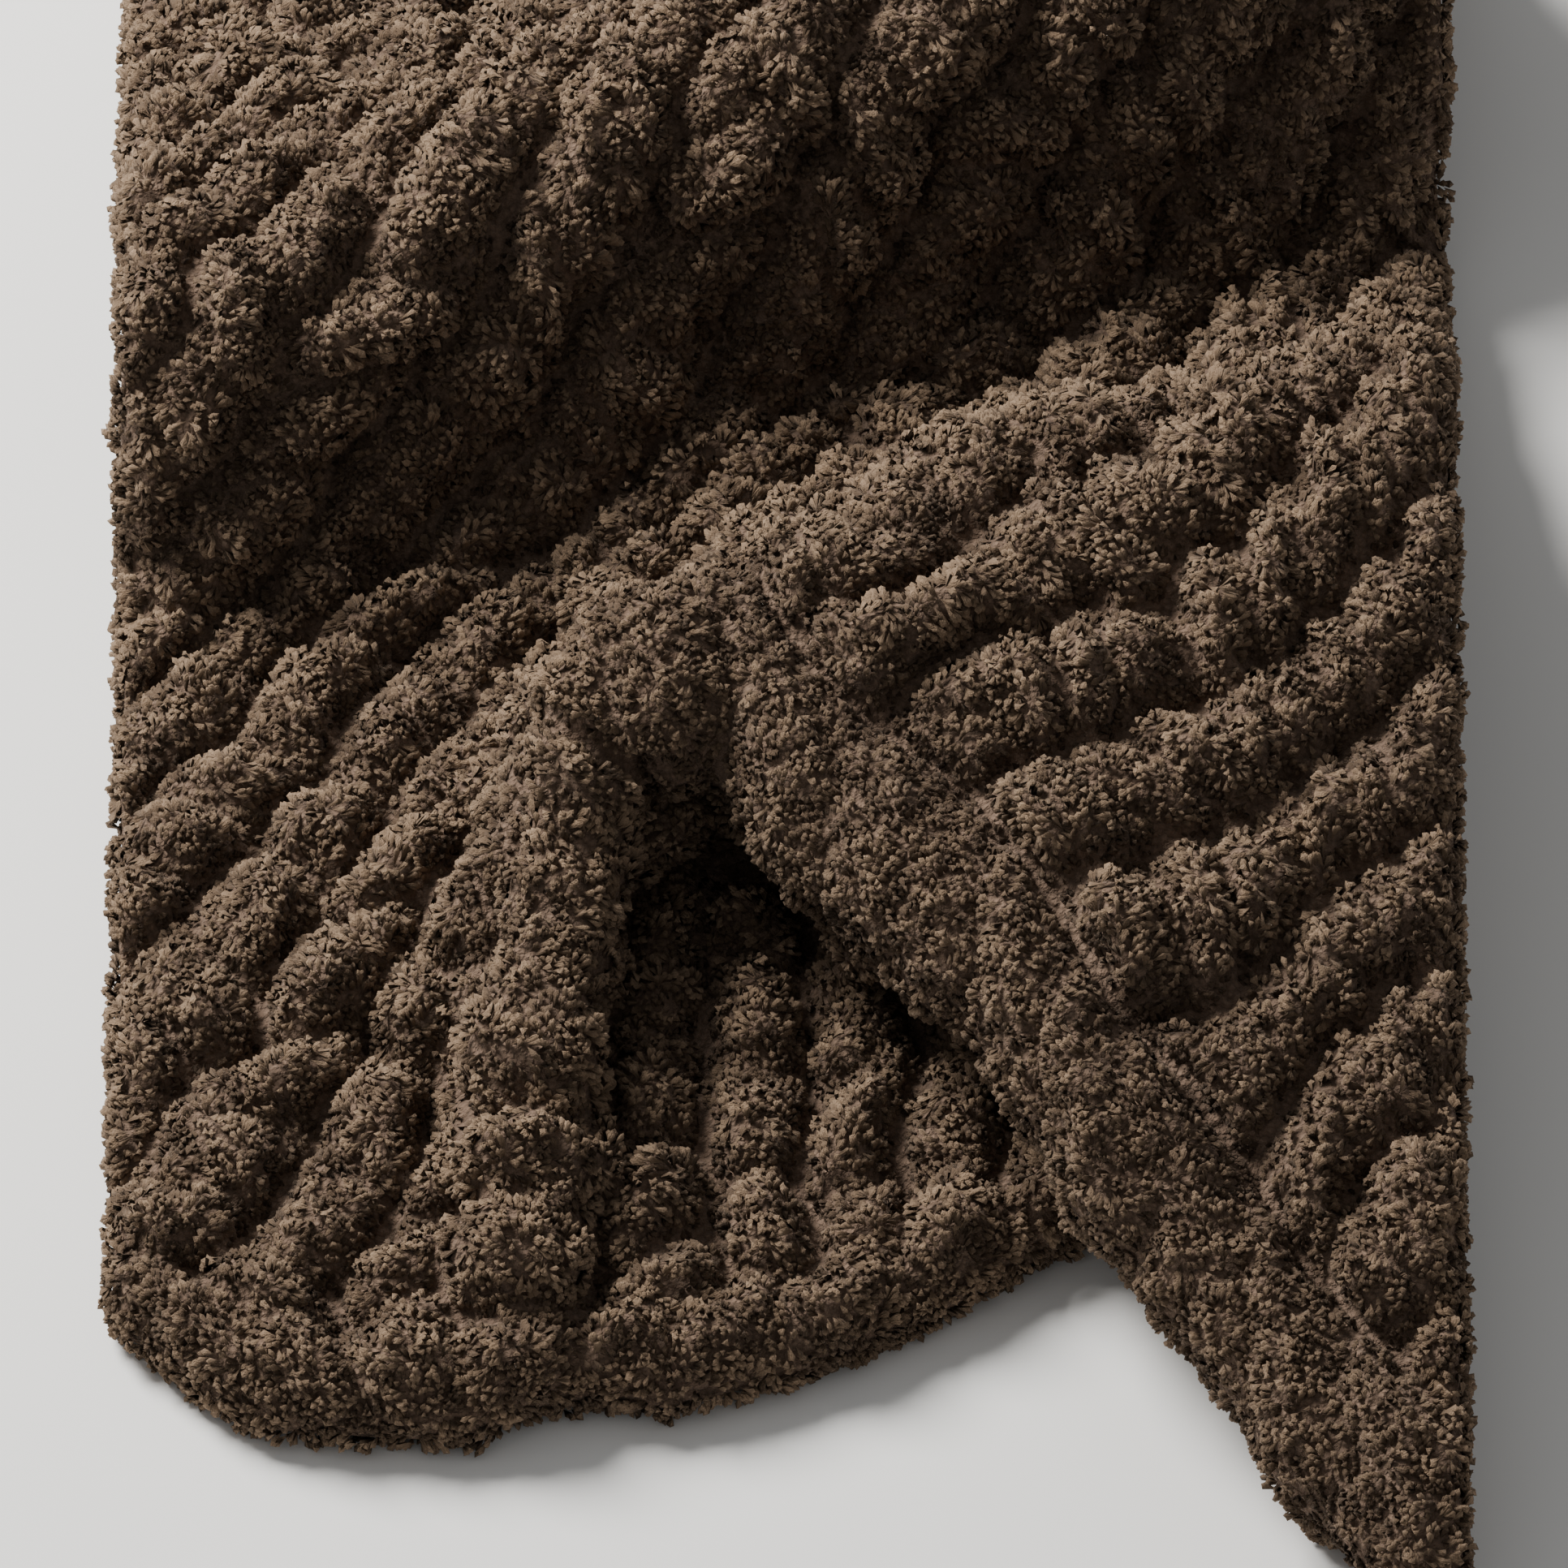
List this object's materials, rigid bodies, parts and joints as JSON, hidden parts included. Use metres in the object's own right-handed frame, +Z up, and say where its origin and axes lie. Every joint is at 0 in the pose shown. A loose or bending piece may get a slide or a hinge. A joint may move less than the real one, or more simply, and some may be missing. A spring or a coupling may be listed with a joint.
{
  "type": "chunky knit blanket",
  "caption": "Chunky ribbed chenille knit blanket, a cut length lying in tall folds with a corner doubled back as a flap over a small hollow.",
  "frame": {"origin": "middle of the outline seen from above, on the surface that the blanket lies on", "axes": "+Z up; +Y from the hem in front to the far edge behind; +X to the right as seen in the picture"},
  "size_m": [0.3276, 0.5902, 0.1115],
  "materials": {
    "chenille": "dark warm brown chenille yarn with a short dense pile, matt"
  },
  "bodies": {
    "root": {"blanket": "chenille"}
  },
  "joints": []
}
